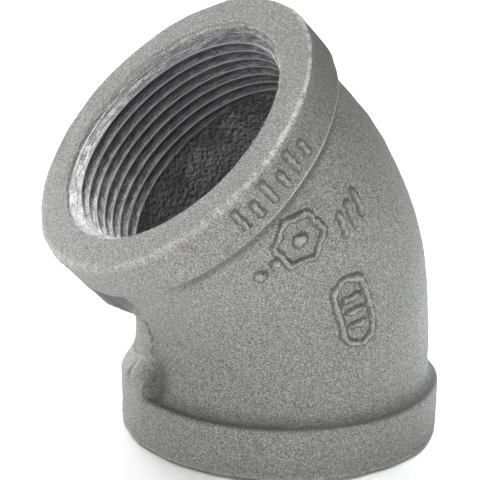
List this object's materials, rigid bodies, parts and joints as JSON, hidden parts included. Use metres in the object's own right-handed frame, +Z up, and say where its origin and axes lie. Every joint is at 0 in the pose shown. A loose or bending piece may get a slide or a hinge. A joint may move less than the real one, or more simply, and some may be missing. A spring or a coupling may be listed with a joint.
{
  "type": "pipe elbow",
  "caption": "Short 45 degree threaded pipe elbow, one casting with a wide band round each tapped end and small raised marks.",
  "frame": {"origin": "centre of the inlet end face", "axes": "+Z is up, from the inlet face into the fitting along the inlet's axis; the outlet leans 45 degrees towards -X in the XZ plane, which is also the mould's parting plane; the raised marks are on the -Y side"},
  "size_m": [0.0774, 0.0622, 0.0826],
  "materials": {
    "cast_skin": "plain grey sand-cast skin, fine grain, satin",
    "cut_thread": "bare tapped iron, bright crests and dark grooves"
  },
  "bodies": {
    "root": {"inlet_band": "cast_skin", "inlet_thread": "cut_thread", "inlet_neck": "cast_skin", "bend_wall": "cast_skin", "outlet_neck": "cast_skin", "outlet_thread": "cut_thread", "outlet_band": "cast_skin", "crotch_rib": "cast_skin", "band_marks": "cast_skin", "hexagon_mark": "cast_skin", "bars_mark": "cast_skin", "dots_mark": "cast_skin", "oblong_mark": "cast_skin"}
  },
  "joints": []
}
